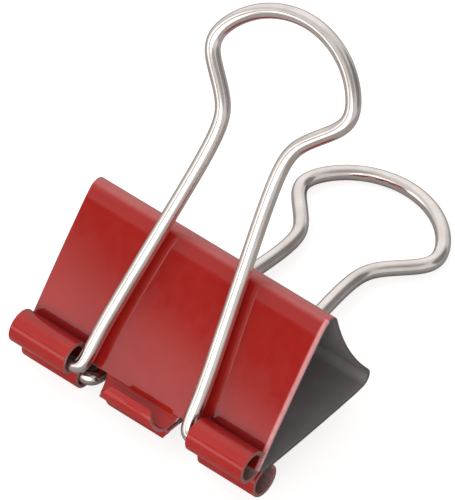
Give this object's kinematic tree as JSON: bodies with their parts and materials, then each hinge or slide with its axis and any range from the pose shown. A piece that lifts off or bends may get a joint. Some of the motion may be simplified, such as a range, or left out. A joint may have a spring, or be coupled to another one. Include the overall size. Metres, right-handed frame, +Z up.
{
  "type": "binder clip",
  "caption": "Painted spring-steel binder clip with a three-sided body, rolled barrels and looped wire handles laid back over the spine.",
  "frame": {"origin": "centre of the bounding box at the table, the clip lying on its rear side", "axes": "+X along the spine, +Y from the lips towards the spine and the handle loops, +Z up"},
  "size_m": [0.0318, 0.0486, 0.0407],
  "materials": {
    "spring_sheet": "glossy red enamel on spring steel, dark lacquer inside",
    "wire": "bright nickel-plated spring wire"
  },
  "bodies": {
    "spring_spine": {"spring_spine": "spring_sheet"},
    "front_jaw": {"front_jaw": "spring_sheet"},
    "rear_jaw": {"rear_jaw": "spring_sheet"},
    "front_handle": {"front_handle": "wire"},
    "rear_handle": {"rear_handle": "wire"}
  },
  "joints": [
    {"name": "front_jaw_bend", "type": "hinge", "parent": "spring_spine", "child": "front_jaw", "pos_m": [0, -0.00984, 0.01673], "axis": [-1, 0, 0], "range_deg": [0, 22], "stiffness_Nm_per_rad": 0.6},
    {"name": "rear_jaw_bend", "type": "hinge", "parent": "spring_spine", "child": "rear_jaw", "pos_m": [0, -0.00414, 0.00425], "axis": [1, 0, 0], "range_deg": [0, 22], "stiffness_Nm_per_rad": 0.6},
    {"name": "front_handle_swing", "type": "hinge", "parent": "front_jaw", "child": "front_handle", "pos_m": [0, -0.02237, 0.00577], "axis": [1, 0, 0], "range_deg": [0, 154]},
    {"name": "rear_handle_swing", "type": "hinge", "parent": "rear_jaw", "child": "rear_handle", "pos_m": [0, -0.02062, 0.00195], "axis": [-1, 0, 0], "range_deg": [0, 154]}
  ]
}
